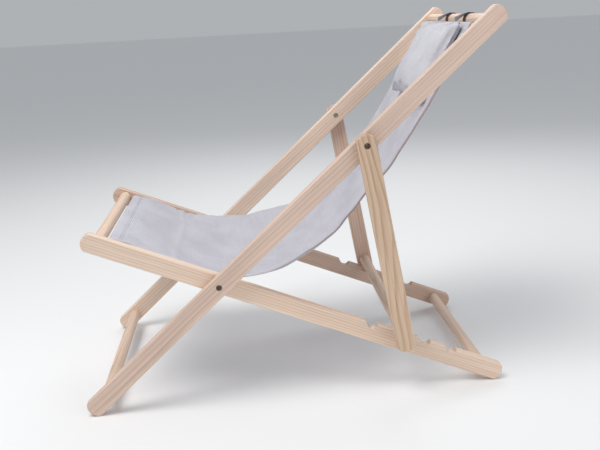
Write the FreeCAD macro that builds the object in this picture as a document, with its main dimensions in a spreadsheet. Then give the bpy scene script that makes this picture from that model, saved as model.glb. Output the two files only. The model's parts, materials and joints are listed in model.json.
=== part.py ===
import FreeCAD, Part
import math
import os

import Sketcher
from FreeCAD import Placement, Rotation, Vector

# Folding deck chair in beech, with a canvas sling and a headrest hung on straps.
# +X runs from front to back, +Y to the sitter's right, +Z up. The origin is on
# the floor at the middle of the chair's bounding box.
#
# Three flat frames nest inside each other and share one main pivot:
#   back frame: two long rails, foot and top crossbars, top sling rod
#   seat frame: two notched rails inside it, front and rear crossbars, front rod
#   prop frame: two short legs outside it and the bar that sits in the notches
# Each frame is drawn flat: local X along its rails, local Y across the chair,
# local Z square to the rails. Lengths are in millimetres, angles in degrees.

DIMENSIONS = {
    # Rails
    "rail_width": 40.0,
    "rail_thick": 20.0,
    "edge_round": 3.0,
    "corner_round": 5.0,
    "end_radius": 24.0,
    "frame_gap": 1.5,
    "back_half_width": 265.0,
    "back_angle": 41.5,
    # Back frame, measured along its rails from the main pivot
    "back_up": 799.5,
    "back_down": 390.5,
    "prop_pivot_up": 421.0,
    "foot_bar_down": 339.5,
    "top_bar_up": 765.0,
    "top_bar_rise": 2.0,
    "top_rod_up": 741.0,
    # Seat frame, measured along its rails from the main pivot
    "seat_rear": 655.0,
    "seat_front": 297.5,
    "front_bar_front": 265.0,
    "front_bar_rise": 2.5,
    "front_rod_front": 239.0,
    "rear_bar_rear": 609.0,
    # Prop frame, measured along its legs from their pivot
    "prop_up": 24.0,
    "prop_down": 450.0,
    # Where the prop bar stands: place along the seat rail, and air under it
    "prop_bar_rear": 398.0,
    "prop_bar_air": 0.4,
    # Round bars and sling rods
    "bar_diam": 26.0,
    "rod_diam": 14.0,
    "rod_rise": 8.0,
    "socket_depth": 12.0,
    "end_play": 0.5,
    "glue_gap": 0.05,
    # How far a cutting tool runs past the face it leaves
    "cut_over": 1.0,
    # Notches along the seat rails
    "notch_first": 340.0,
    "notch_pitch": 62.0,
    "notch_count": 4.0,
    "notch_radius": 12.0,
    "notch_front_lean": 42.0,
    "notch_rear_lean": 13.0,
    # Pivot fittings
    "recess_diam": 13.0,
    "recess_depth": 6.0,
    "head_diam": 12.4,
    "head_thick": 4.0,
    "barrel_diam": 8.0,
    "stud_diam": 6.0,
    "stud_length": 24.0,
    "nut_end_wall": 2.0,
    "thread_gap": 0.05,
    "turn_gap": 0.08,
    "face_gap": 0.1,
    "key_across": 5.0,
    "key_depth": 2.6,
    "washer_diam": 22.0,
    # Sling
    "sling_half_width": 215.0,
    "sling_thick": 3.0,
    "sleeve_wall": 1.5,
    "sling_split": 65.0,
    "sling_split_gap": 6.0,
    "sling_split_slope": 0.55,
    # Headrest
    "pillow_width": 320.0,
    "pillow_length": 190.0,
    "pillow_edge": 14.0,
    "pillow_crown": 49.0,
    "pillow_round": 10.0,
    "pillow_shift": -36.5,
    "pillow_tilt": 18.5,
    "pillow_rise": 23.2,
    "pillow_drop": 18.0,
    "strap_width": 14.0,
    "strap_thick": 1.5,
    "strap_gap": 0.4,
    "strap_spacing": 150.0,
    "strap_lean": 60.0,
}

# Side view of the sling's drape halfway between its hems and its middle.
# The seat's points are in the seat frame, the others in the back frame.
DRAPE_SEAT = [(-170.0, 0.0, 6.0), (-110.0, 0.0, -2.0), (-40.0, 0.0, 4.0)]
DRAPE_AT_SPLIT = Vector(55.0, 0.0, -34.0)
DRAPE_BACK = [(150.0, 0.0, -82.0), (250.0, 0.0, -104.0), (350.0, 0.0, -101.0), (450.0, 0.0, -84.0)]

SIDES = {"left": -1, "right": 1}
ACROSS = Vector(0, 1, 0)


def make_sheet(doc):
    """Hold every driving dimension in a cell with an alias."""
    sheet = doc.addObject("Spreadsheet::Sheet", "sheet")
    for row, (name, value) in enumerate(DIMENSIONS.items(), start=1):
        sheet.set("A%d" % row, name)
        sheet.set("B%d" % row, str(value))
        sheet.setAlias("B%d" % row, name)
    doc.recompute()
    return sheet


def dim(name):
    """One driving dimension, read from the sheet."""
    return float(getattr(FreeCAD.ActiveDocument.getObject("sheet"), name))


def bind(obj, **formulas):
    """Bind properties of obj to formulas over the sheet's aliases."""
    for prop, formula in formulas.items():
        obj.setExpression(prop.replace("__", "."), formula)


# ---- where the frames stand ----

def corner_centre(reach):
    """Centre of the small corner arc at a rail's end, from the pivot: along, across."""
    across = dim("rail_width") / 2 - dim("corner_round")
    from_end_centre = dim("end_radius") - dim("corner_round")
    along = reach - dim("end_radius") + math.sqrt(from_end_centre ** 2 - across ** 2)
    return along, across


def pivot_height():
    """The long rails stand on the big arc of their lower ends."""
    slope = math.radians(dim("back_angle"))
    return (dim("back_down") - dim("end_radius")) * math.sin(slope) + dim("end_radius")


def seat_angle():
    """Slope at which the seat rails' rear corners reach the floor too."""
    along, across = corner_centre(dim("seat_rear"))
    drop = pivot_height() - dim("corner_round")
    return math.degrees(math.asin(drop / math.hypot(along, across)) - math.atan2(across, along))


def main_pivot():
    """Main pivot, with the chair's extent along X centred on the origin."""
    back_slope = math.radians(dim("back_angle"))
    seat_slope = math.radians(seat_angle())
    front = reach_along_floor(dim("back_down"), back_slope)
    rear = max(reach_along_floor(dim("back_up"), back_slope),
               reach_along_floor(dim("seat_rear"), seat_slope))
    return Vector((front - rear) / 2, 0, pivot_height())


def reach_along_floor(reach, slope):
    """Horizontal distance from the pivot to the far side of a rail's round end."""
    return (reach - dim("end_radius")) * math.cos(slope) + dim("end_radius")


def back_place():
    """Back frame: local X up the long rails, local Z to the front."""
    return Placement(main_pivot(), Rotation(ACROSS, -dim("back_angle")))


def seat_place():
    """Seat frame: local X down to the rear foot, local Z upwards."""
    return Placement(main_pivot(), Rotation(ACROSS, seat_angle()))


def prop_bar_point():
    """Prop bar's centre in the seat frame, just over the rails' notched edge."""
    rise = dim("rail_width") / 2 + dim("bar_diam") / 2 + dim("prop_bar_air")
    return Vector(dim("prop_bar_rear"), 0, rise)


def prop_leg_vector():
    """From the prop pivot to the prop bar, in the chair's frame."""
    pivot = back_place().multVec(Vector(dim("prop_pivot_up"), 0, 0))
    return seat_place().multVec(prop_bar_point()) - pivot


def prop_place():
    """Prop frame: local X down the legs, local Z to the rear."""
    leg = prop_leg_vector()
    pivot = back_place().multVec(Vector(dim("prop_pivot_up"), 0, 0))
    return Placement(pivot, Rotation(ACROSS, math.degrees(math.atan2(-leg.z, leg.x))))


def headrest_place():
    """Headrest: origin on the top crossbar, local X up along the pillow's back."""
    bar = Vector(dim("top_bar_up"), dim("pillow_shift"), dim("top_bar_rise"))
    tilt = Rotation(ACROSS, -dim("pillow_tilt"))
    return back_place() * Placement(bar, tilt)


def moved(place, x, y, z):
    """Placement of a piece whose local origin is (x, y, z) in a frame."""
    return place * Placement(Vector(x, y, z), Rotation())


def crosswise(place, x, y, z, side=1):
    """The same, with the piece's own Z axis turned to +Y, or to -Y for the left side."""
    return place * Placement(Vector(x, y, z), Rotation(Vector(1, 0, 0), -90 * side))


# ---- rails ----

def flat_sketch(body, name):
    """An empty sketch on the body's own XZ plane."""
    sketch = body.newObject("Sketcher::SketchObject", name)
    plane = [f for f in body.Origin.OriginFeatures if f.Role == "XZ_Plane"][0]
    sketch.AttachmentSupport = [(plane, "")]
    sketch.MapMode = "FlatFace"
    return sketch


def named(sketch, name, formula, *constraint):
    """Add a dimension to a sketch and bind it to a formula."""
    index = sketch.addConstraint(Sketcher.Constraint(*constraint))
    sketch.renameConstraint(index, name)
    sketch.setExpression("Constraints." + name, formula)


def rail_outline(sketch, plus, minus):
    """A rail's side view: two straight edges and two shallow arc ends."""
    half = dim("rail_width") / 2
    radius = dim("end_radius")
    inset = math.sqrt(radius ** 2 - half ** 2)
    swing = math.asin(half / radius)
    centre_plus = dim(plus) - radius
    centre_minus = radius - dim(minus)
    edges = [
        sketch.addGeometry(Part.LineSegment(
            Vector(centre_minus - inset, side * half, 0), Vector(centre_plus + inset, side * half, 0)))
        for side in (1, -1)
    ]
    ends = [
        sketch.addGeometry(Part.ArcOfCircle(
            Part.Circle(Vector(centre, 0, 0), Vector(0, 0, 1), radius), middle - swing, middle + swing))
        for centre, middle in ((centre_plus, 0), (centre_minus, math.pi))
    ]
    top, base = edges
    end_plus, end_minus = ends
    for join in ((top, 1, end_minus, 1), (top, 2, end_plus, 2),
                 (base, 1, end_minus, 2), (base, 2, end_plus, 1)):
        sketch.addConstraint(Sketcher.Constraint("Coincident", *join))
    for edge in edges:
        sketch.addConstraint(Sketcher.Constraint("Horizontal", edge))
    for end in ends:
        sketch.addConstraint(Sketcher.Constraint("PointOnObject", end, 3, -1))
    named(sketch, "upper", "sheet.rail_width / 2", "DistanceY", -1, 1, top, 1, half)
    named(sketch, "lower", "sheet.rail_width / 2", "DistanceY", base, 1, -1, 1, half)
    named(sketch, "radius_plus", "sheet.end_radius", "Radius", end_plus, radius)
    named(sketch, "radius_minus", "sheet.end_radius", "Radius", end_minus, radius)
    named(sketch, "plus", "sheet.%s - sheet.end_radius" % plus,
          "DistanceX", -1, 1, end_plus, 3, centre_plus)
    named(sketch, "span", "sheet.%s + sheet.%s - 2 * sheet.end_radius" % (plus, minus),
          "DistanceX", end_minus, 3, end_plus, 3, centre_plus - centre_minus)


def edge_names(shape, wanted):
    """Names of the shape's edges that pass a test."""
    return ["Edge%d" % n for n, edge in enumerate(shape.Edges, start=1) if wanted(edge)]


def rail_blank(doc, label, plus, minus):
    """A rail before drilling: its outline padded, with corners and edges rounded."""
    body = doc.addObject("PartDesign::Body", label)
    body.Label = label
    sketch = flat_sketch(body, label + "_outline")
    rail_outline(sketch, plus, minus)
    pad = body.newObject("PartDesign::Pad", label + "_stock")
    pad.Profile = sketch
    pad.Midplane = True
    bind(pad, Length="sheet.rail_thick")
    doc.recompute()

    corners = body.newObject("PartDesign::Fillet", label + "_corners")
    corners.Base = (pad, edge_names(pad.Shape, runs_across))
    bind(corners, Radius="sheet.corner_round")
    doc.recompute()

    edges = body.newObject("PartDesign::Fillet", label + "_edges")
    edges.Base = (corners, edge_names(corners.Shape, runs_in_plane))
    bind(edges, Radius="sheet.edge_round")
    doc.recompute()
    return body


def runs_across(edge):
    """True for an edge along the rail's thickness."""
    return edge.BoundBox.YLength > dim("rail_thick") / 2


def runs_in_plane(edge):
    """True for an edge around one of the rail's two broad faces."""
    return edge.BoundBox.YLength < dim("edge_round") / 10


def drill(body, name, along, rise, diameter, start, depth, side):
    """Cut a round hole across the rail. start and depth are measured towards side."""
    hole = body.newObject("PartDesign::SubtractiveCylinder", body.Label + "_" + name)
    hole.Placement = crosswise(Placement(), 0, 0, 0, side)
    sign = "" if side > 0 else "-1 * "
    bind(hole, Radius="(%s) / 2" % diameter, Height=depth, Placement__Base__x=along,
         Placement__Base__y="%s(%s)" % (sign, start), Placement__Base__z=rise)


def recessed_pivot(body, name, along, side, recess_side):
    """A turning hole for the barrel, with a round recess in one face."""
    half = "sheet.rail_thick / 2"
    drill(body, name + "_bore", along, "0", "sheet.barrel_diam + 2 * sheet.turn_gap",
          "-%s - sheet.cut_over" % half, "sheet.rail_thick + 2 * sheet.cut_over", side)
    drill(body, name + "_recess", along, "0", "sheet.recess_diam",
          "%s - sheet.recess_depth" % half, "sheet.recess_depth + sheet.cut_over", recess_side)


def dowel_socket(body, name, along, rise, diameter, inward):
    """A blind hole for a bar's end in the rail's inner face."""
    drill(body, name, along, rise, diameter + " + 2 * sheet.glue_gap",
          "sheet.rail_thick / 2 - sheet.socket_depth", "sheet.socket_depth + sheet.cut_over", inward)


def long_rail(doc, name, side):
    """Long rail: main pivot, prop pivot and three sockets."""
    body = rail_blank(doc, "long_rail_" + name, "back_up", "back_down")
    recessed_pivot(body, "main", "0", side, side)
    recessed_pivot(body, "prop", "sheet.prop_pivot_up", side, -side)
    dowel_socket(body, "foot", "-sheet.foot_bar_down", "0", "sheet.bar_diam", -side)
    dowel_socket(body, "top", "sheet.top_bar_up", "sheet.top_bar_rise", "sheet.bar_diam", -side)
    dowel_socket(body, "rod", "sheet.top_rod_up", "sheet.rod_rise", "sheet.rod_diam", -side)
    middle = dim("back_half_width") - dim("rail_thick") / 2
    body.Placement = moved(back_place(), 0, side * middle, 0)
    return body


def seat_rail(doc, name, side):
    """Seat rail: main pivot, three sockets and the row of notches."""
    body = rail_blank(doc, "seat_rail_" + name, "seat_rear", "seat_front")
    recessed_pivot(body, "main", "0", side, -side)
    dowel_socket(body, "front", "-sheet.front_bar_front", "sheet.front_bar_rise",
                 "sheet.bar_diam", -side)
    dowel_socket(body, "rod", "-sheet.front_rod_front", "sheet.rod_rise", "sheet.rod_diam", -side)
    dowel_socket(body, "rear", "sheet.rear_bar_rear", "0", "sheet.bar_diam", -side)
    cut_notches(doc, body)
    body.Placement = moved(seat_place(), 0, side * seat_middle(), 0)
    return body


def seat_middle():
    """Distance from the centre plane to the middle of a seat rail."""
    return dim("back_half_width") - dim("frame_gap") - 1.5 * dim("rail_thick")


def prop_middle():
    """Distance from the centre plane to the middle of a prop leg."""
    return dim("back_half_width") + dim("frame_gap") + dim("rail_thick") / 2


def prop_leg(doc, name, side):
    """Prop leg: pivot at its top and a socket for the bar near its foot."""
    body = rail_blank(doc, "prop_leg_" + name, "prop_down", "prop_up")
    recessed_pivot(body, "prop", "0", side, side)
    dowel_socket(body, "bar", str(prop_leg_vector().Length), "0", "sheet.bar_diam", -side)
    body.Placement = moved(prop_place(), 0, side * prop_middle(), 0)
    return body


def notch_outline(sketch):
    """A notch: round floor, steep rear wall, front wall laid back."""
    radius = dim("notch_radius")
    front = math.radians(dim("notch_front_lean"))
    rear = math.radians(dim("notch_rear_lean"))
    top = dim("rail_width") / 2
    first = dim("notch_first")
    mouth = top + dim("edge_round")
    front_foot = Vector(first - radius * math.cos(front), top - radius * math.sin(front), 0)
    rear_foot = Vector(first + radius * math.cos(rear), top - radius * math.sin(rear), 0)
    front_top = Vector(front_foot.x - (mouth - front_foot.y) * math.tan(front), mouth, 0)
    rear_top = Vector(rear_foot.x + (mouth - rear_foot.y) * math.tan(rear), mouth, 0)
    floor = sketch.addGeometry(Part.ArcOfCircle(
        Part.Circle(Vector(first, top, 0), Vector(0, 0, 1), radius), math.pi + front, -rear))
    rear_wall = sketch.addGeometry(Part.LineSegment(rear_foot, rear_top))
    lid = sketch.addGeometry(Part.LineSegment(rear_top, front_top))
    front_wall = sketch.addGeometry(Part.LineSegment(front_top, front_foot))
    sketch.addConstraint(Sketcher.Constraint("Tangent", floor, 2, rear_wall, 1))
    sketch.addConstraint(Sketcher.Constraint("Coincident", rear_wall, 2, lid, 1))
    sketch.addConstraint(Sketcher.Constraint("Coincident", lid, 2, front_wall, 1))
    sketch.addConstraint(Sketcher.Constraint("Tangent", front_wall, 2, floor, 1))
    sketch.addConstraint(Sketcher.Constraint("Horizontal", lid))
    named(sketch, "place", "sheet.notch_first", "DistanceX", -1, 1, floor, 3, first)
    named(sketch, "edge", "sheet.rail_width / 2", "DistanceY", -1, 1, floor, 3, top)
    named(sketch, "radius", "sheet.notch_radius", "Radius", floor, radius)
    named(sketch, "mouth", "sheet.rail_width / 2 + sheet.edge_round",
          "DistanceY", -1, 1, rear_wall, 2, mouth)
    named(sketch, "rear_lean", "90 - sheet.notch_rear_lean",
          "Angle", rear_wall, math.pi / 2 - rear)
    named(sketch, "front_lean", "-(90 - sheet.notch_front_lean)",
          "Angle", front_wall, front - math.pi / 2)


def cut_notches(doc, body):
    """Cut the first notch and repeat it along the rail."""
    sketch = flat_sketch(body, body.Label + "_notch")
    notch_outline(sketch)
    notch = body.newObject("PartDesign::Pocket", body.Label + "_first_notch")
    notch.Profile = sketch
    notch.Midplane = True
    bind(notch, Length="sheet.rail_thick + 2 * sheet.cut_over")
    doc.recompute()
    row = body.newObject("PartDesign::LinearPattern", body.Label + "_notch_row")
    row.Originals = [notch]
    row.Direction = (sketch, ["H_Axis"])
    row.Mode = "Spacing"
    bind(row, Offset="sheet.notch_pitch", Occurrences="sheet.notch_count")
    body.Tip = row
    doc.recompute()


# ---- round bars and rods ----

def round_bar(doc, label, diameter, half_length, place):
    """A straight bar across the chair, its ends just short of its sockets' floors."""
    bar = doc.addObject("Part::Cylinder", label)
    bar.Label = label
    bind(bar, Radius=diameter + " / 2", Height="2 * (%s)" % half_length)
    doc.recompute()
    half = bar.Height.Value / 2
    bar.Placement = place * Placement(Vector(0, -half, 0), Rotation(Vector(1, 0, 0), -90))
    return bar


def bars(doc):
    """Every crossbar and sling rod, each in its frame."""
    held = "- sheet.rail_thick + sheet.socket_depth - sheet.end_play"
    back = "sheet.back_half_width " + held
    seat = "sheet.back_half_width - sheet.frame_gap - sheet.rail_thick " + held
    prop = "sheet.back_half_width + sheet.frame_gap + sheet.socket_depth - sheet.end_play"
    bar = "sheet.bar_diam"
    rod = "sheet.rod_diam"
    in_back = back_place()
    in_seat = seat_place()
    round_bar(doc, "foot_crossbar", bar, back, moved(in_back, -dim("foot_bar_down"), 0, 0))
    round_bar(doc, "top_crossbar", bar, back,
              moved(in_back, dim("top_bar_up"), 0, dim("top_bar_rise")))
    round_bar(doc, "sling_rod_top", rod, back,
              moved(in_back, dim("top_rod_up"), 0, dim("rod_rise")))
    round_bar(doc, "front_crossbar", bar, seat,
              moved(in_seat, -dim("front_bar_front"), 0, dim("front_bar_rise")))
    round_bar(doc, "sling_rod_front", rod, seat,
              moved(in_seat, -dim("front_rod_front"), 0, dim("rod_rise")))
    round_bar(doc, "rear_crossbar", bar, seat, moved(in_seat, dim("rear_bar_rear"), 0, 0))
    round_bar(doc, "prop_crossbar", bar, prop, moved(prop_place(), prop_leg_vector().Length, 0, 0))


# ---- pivot fittings: every one lies along its own local Z, outwards ----

def disc(doc, name, radius, height, base="0"):
    """A cylinder along local Z with its foot at base."""
    piece = doc.addObject("Part::Cylinder", name)
    bind(piece, Radius=radius, Height=height, Placement__Base__z=base)
    return piece


def joined(doc, kind, name, base, tool):
    """A boolean of two pieces: kind is Fuse or Cut."""
    result = doc.addObject("Part::" + kind, name)
    result.Base = base
    result.Tool = tool
    return result


def pivot_bolt(doc, label):
    """Bolt: head with a hexagonal key socket, stud inwards. Its head's seat is at Z 0."""
    head = disc(doc, label + "_head", "sheet.head_diam / 2", "sheet.head_thick")
    stud = disc(doc, label + "_stud", "sheet.stud_diam / 2", "sheet.stud_length",
                "-sheet.stud_length")
    key = doc.addObject("Part::Prism", label + "_key")
    key.Polygon = 6
    bind(key, Circumradius="sheet.key_across / sqrt(3)", Height="sheet.key_depth + sheet.cut_over",
         Placement__Base__z="sheet.head_thick - sheet.key_depth")
    solid = joined(doc, "Fuse", label + "_solid", head, stud)
    bolt = joined(doc, "Cut", label, solid, key)
    bolt.Label = label
    return bolt


def pivot_nut(doc, label):
    """Barrel nut: flange at Z 0 and inwards, barrel outwards, bored from its far end."""
    reach = "(2 * sheet.rail_thick + sheet.frame_gap - 2 * sheet.recess_depth - sheet.face_gap)"
    flange = disc(doc, label + "_flange", "sheet.head_diam / 2", "sheet.head_thick",
                  "-sheet.head_thick")
    barrel = disc(doc, label + "_barrel", "sheet.barrel_diam / 2", reach)
    bore = disc(doc, label + "_bore", "sheet.stud_diam / 2 + sheet.thread_gap", reach,
                "sheet.nut_end_wall")
    solid = joined(doc, "Fuse", label + "_solid", flange, barrel)
    nut = joined(doc, "Cut", label, solid, bore)
    nut.Label = label
    return nut


def pivot_washer(doc, label):
    """Flat washer that fills the gap between two rails but for a running clearance."""
    ring = disc(doc, label + "_ring", "sheet.washer_diam / 2",
                "sheet.frame_gap - 2 * sheet.thread_gap", "sheet.thread_gap")
    bore = disc(doc, label + "_bore", "sheet.barrel_diam / 2 + sheet.turn_gap", "sheet.frame_gap")
    washer = joined(doc, "Cut", label, ring, bore)
    washer.Label = label
    return washer


def pivot_set(doc, joint, name, side, along, outer_face):
    """Bolt, nut and washer through two rails. outer_face is the outer rail's face."""
    inner_face = outer_face - 2 * dim("rail_thick") - dim("frame_gap")
    inner_rail_out = inner_face + dim("rail_thick")
    seats = (
        (pivot_bolt, "bolt", outer_face - dim("recess_depth") + dim("face_gap")),
        (pivot_nut, "nut", inner_face + dim("recess_depth") - dim("face_gap")),
        (pivot_washer, "washer", inner_rail_out),
    )
    for make, kind, out in seats:
        piece = make(doc, "%s_pivot_%s_%s" % (joint, kind, name))
        piece.Placement = crosswise(back_place(), along, side * out, 0, side)


# ---- sling: two stiff halves that share one drape ----

def feature(doc, label, shape, place):
    """A sub-part whose shape is built from wires."""
    piece = doc.addObject("Part::Feature", label)
    piece.Label = label
    piece.Shape = shape
    piece.Placement = place
    return piece


def strip(points, start_slope, end_slope, thick):
    """Closed face of a sheet seen edge on, between two offset curves."""
    curves = []
    for offset in (thick / 2, -thick / 2):
        curve = Part.BSplineCurve()
        curve.interpolate(
            [point + normal_of(points, n, start_slope, end_slope) * offset
             for n, point in enumerate(points)],
            InitialTangent=start_slope, FinalTangent=end_slope)
        curves.append(curve.toShape())
    first, second = curves
    starts = Part.makeLine(second.valueAt(second.FirstParameter), first.valueAt(first.FirstParameter))
    ends = Part.makeLine(first.valueAt(first.LastParameter), second.valueAt(second.LastParameter))
    return Part.Face(Part.Wire(Part.__sortEdges__([first, ends, second, starts])))


def normal_of(points, n, start_slope, end_slope):
    """Unit normal of the sheet at its nth point."""
    if n == 0:
        along = Vector(start_slope)
    elif n == len(points) - 1:
        along = Vector(end_slope)
    else:
        along = points[n + 1] - points[n - 1]
    along.normalize()
    return Vector(-along.z, 0, along.x)


def sleeve(centre):
    """Cross-section of the hem sleeve around a sling rod."""
    inner = dim("rod_diam") / 2 + dim("glue_gap")
    outer = inner + dim("sleeve_wall")
    ring = Part.Face(Part.Wire(Part.makeCircle(outer, centre, ACROSS)))
    bore = Part.Face(Part.Wire(Part.makeCircle(inner, centre, ACROSS)))
    return ring, bore


def sling_solid(points, start_slope, end_slope, rod_centre):
    """One half of the sling: draped sheet and sleeve, as wide as the cloth."""
    width = 2 * dim("sling_half_width")
    sheet = strip(points, start_slope, end_slope, dim("sling_thick"))
    ring, bore = sleeve(rod_centre)
    section = sheet.fuse(ring).cut(bore).removeSplitter()
    face = max(section.Faces, key=lambda f: f.Area)
    face.translate(Vector(0, -width / 2, 0))
    return face.extrude(Vector(0, width, 0))


def split_point(place_from, place_to, point, radius):
    """A point of the drape near the pivot, pushed to a radius, in the other frame."""
    pushed = Vector(point)
    pushed.normalize()
    return place_to.inverse().multVec(place_from.multVec(pushed * radius))


def sling_seat(doc):
    """Seat half, in the seat frame: from the front rod to just under the pivot."""
    rod = Vector(-dim("front_rod_front"), 0, dim("rod_rise"))
    top = rod.z + dim("rod_diam") / 2
    gap = dim("sling_split_gap") / 2
    end = split_point(back_place(), seat_place(), DRAPE_AT_SPLIT, dim("sling_split") - gap)
    points = [Vector(rod.x, 0, top)] + [Vector(*point) for point in DRAPE_SEAT] + [end]
    shape = sling_solid(points, Vector(1, 0, 0), Vector(1, 0, dim("sling_split_slope")), rod)
    return feature(doc, "sling_seat", shape, seat_place())


def sling_back(doc):
    """Back half, in the back frame: from the split up to the top rod."""
    rod = Vector(dim("top_rod_up"), 0, dim("rod_rise"))
    tilt = math.radians(dim("pillow_tilt"))
    up = Vector(math.cos(tilt), 0, math.sin(tilt))
    front = Vector(-math.sin(tilt), 0, math.cos(tilt))
    under_pillow = rod + front * (dim("rod_diam") / 2)
    gap = dim("sling_split_gap") / 2
    start = split_point(back_place(), back_place(), DRAPE_AT_SPLIT, dim("sling_split") + gap)
    straight = under_pillow - up * dim("pillow_length")
    points = [start] + [Vector(*point) for point in DRAPE_BACK] + [straight, under_pillow]
    shape = sling_solid(points, Vector(1, 0, -dim("sling_split_slope")), up, rod)
    return feature(doc, "sling_back", shape, back_place())


# ---- headrest ----

def pillow(doc):
    """Pillow: flat back along the sling, crowned front, rounded ends."""
    body = doc.addObject("PartDesign::Body", "headrest_pillow")
    body.Label = "headrest_pillow"
    sketch = flat_sketch(body, "pillow_outline")
    length = dim("pillow_length")
    edge = dim("pillow_edge")
    crown = dim("pillow_crown")
    foot = Vector(-length, 0, 0)
    foot_front = Vector(-length, edge, 0)
    top = Vector(0, 0, 0)
    top_front = Vector(0, edge, 0)
    back = sketch.addGeometry(Part.LineSegment(foot, top))
    top_end = sketch.addGeometry(Part.LineSegment(top, top_front))
    front = sketch.addGeometry(Part.Arc(top_front, Vector(-length / 2, crown, 0), foot_front))
    foot_end = sketch.addGeometry(Part.LineSegment(foot_front, foot))
    sketch.addConstraint(Sketcher.Constraint("Coincident", back, 2, -1, 1))
    sketch.addConstraint(Sketcher.Constraint("Coincident", back, 2, top_end, 1))
    sketch.addConstraint(Sketcher.Constraint("Coincident", top_end, 2, front, 1))
    sketch.addConstraint(Sketcher.Constraint("Coincident", front, 2, foot_end, 1))
    sketch.addConstraint(Sketcher.Constraint("Coincident", foot_end, 2, back, 1))
    sketch.addConstraint(Sketcher.Constraint("Horizontal", back))
    sketch.addConstraint(Sketcher.Constraint("Vertical", top_end))
    sketch.addConstraint(Sketcher.Constraint("Vertical", foot_end))
    rise = crown - edge
    named(sketch, "length", "sheet.pillow_length", "DistanceX", back, 1, back, 2, length)
    named(sketch, "top_edge", "sheet.pillow_edge", "DistanceY", top_end, 1, top_end, 2, edge)
    named(sketch, "foot_edge", "sheet.pillow_edge", "DistanceY", foot_end, 2, foot_end, 1, edge)
    named(sketch, "crown",
          "((sheet.pillow_length / 2) ^ 2 + (sheet.pillow_crown - sheet.pillow_edge) ^ 2)"
          " / (2 * (sheet.pillow_crown - sheet.pillow_edge))",
          "Radius", front, ((length / 2) ** 2 + rise ** 2) / (2 * rise))
    pad = body.newObject("PartDesign::Pad", "pillow_filling")
    pad.Profile = sketch
    pad.Midplane = True
    bind(pad, Length="sheet.pillow_width")
    doc.recompute()
    rounds = body.newObject("PartDesign::Fillet", "pillow_rounds")
    rounds.Base = (pad, edge_names(pad.Shape, is_crown_edge))
    bind(rounds, Radius="sheet.pillow_round")
    doc.recompute()
    body.Placement = moved(headrest_place(), -dim("pillow_drop"), 0, dim("pillow_rise"))
    return body


def is_crown_edge(edge):
    """True for the two arcs where the pillow's front meets its ends."""
    flat = edge.BoundBox.YLength < dim("edge_round") / 10
    return flat and edge.BoundBox.ZLength > (dim("pillow_edge") + dim("pillow_crown")) / 2


def strap(doc, name, side):
    """Strap: a loop around the top crossbar and a leg down to the pillow's top."""
    inner = dim("bar_diam") / 2 + dim("strap_gap")
    thick = dim("strap_thick")
    width = dim("strap_width")
    start = Vector(0, -width / 2, 0)
    loop = Part.makeCylinder(inner + thick, width, start, ACROSS)
    hole = Part.makeCylinder(inner, width, start, ACROSS)
    mid = inner + thick / 2
    lean = math.radians(dim("strap_lean"))
    on_loop = Vector(mid * math.cos(lean), 0, mid * math.sin(lean))
    on_pillow = Vector(thick - dim("pillow_drop"), 0, dim("pillow_rise") + dim("pillow_edge") / 2)
    along = on_pillow - on_loop
    along.normalize()
    out = Vector(-along.z, 0, along.x) * (thick / 2)
    lower = Vector(0, -width / 2, 0)
    corners = [on_loop + out, on_loop - out, on_pillow - out, on_pillow + out]
    leg_face = Part.Face(Part.makePolygon([c + lower for c in corners + corners[:1]]))
    leg = leg_face.extrude(Vector(0, width, 0))
    shape = loop.cut(hole).fuse(leg).removeSplitter()
    place = moved(headrest_place(), 0, side * dim("strap_spacing") / 2, 0)
    return feature(doc, "headrest_strap_" + name, shape, place)


# ---- document ----

def build():
    """Build every sub-part and return the document."""
    doc = FreeCAD.newDocument("deck_chair")
    make_sheet(doc)
    for name, side in SIDES.items():
        long_rail(doc, name, side)
        seat_rail(doc, name, side)
        prop_leg(doc, name, side)
        outer = dim("back_half_width")
        pivot_set(doc, "main", name, side, 0, outer)
        pivot_set(doc, "prop", name, side, dim("prop_pivot_up"),
                  outer + dim("frame_gap") + dim("rail_thick"))
        strap(doc, name, side)
    bars(doc)
    sling_seat(doc)
    sling_back(doc)
    pillow(doc)
    doc.recompute()
    return doc


def sub_parts(doc):
    """Top-level solids: bodies, and Part objects that no boolean uses."""
    pieces = []
    for obj in doc.Objects:
        if obj.TypeId == "PartDesign::Body":
            pieces.append(obj)
        elif obj.TypeId.startswith("Part::") and not obj.InList:
            pieces.append(obj)
    return pieces


def check(doc):
    """Stop if a feature failed or a sub-part isn't a valid solid."""
    for obj in doc.Objects:
        bad = [state for state in obj.State if state in ("Invalid", "Error")]
        if bad:
            raise RuntimeError("%s is %s" % (obj.Name, bad))
    for piece in sub_parts(doc):
        shape = piece.Shape
        if shape.isNull() or not shape.isValid() or shape.Volume <= 0:
            raise RuntimeError("%s has no valid solid" % piece.Label)


def export(doc):
    """Write each sub-part to parts/ under its label."""
    os.makedirs("parts", exist_ok=True)
    for piece in sub_parts(doc):
        piece.Shape.exportStep("parts/%s.step" % piece.Label)
        print(piece.Label, len(piece.Shape.Solids), round(piece.Shape.Volume))


chair = build()
check(chair)
export(chair)
print("main pivot", main_pivot())
print("prop pivot", prop_place().Base)
print("top crossbar", headrest_place().Base)
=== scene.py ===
import json
import math

import bmesh
import bpy
import numpy as np
from mathutils import Matrix, Vector, noise
from mathutils.bvhtree import BVHTree


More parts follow.
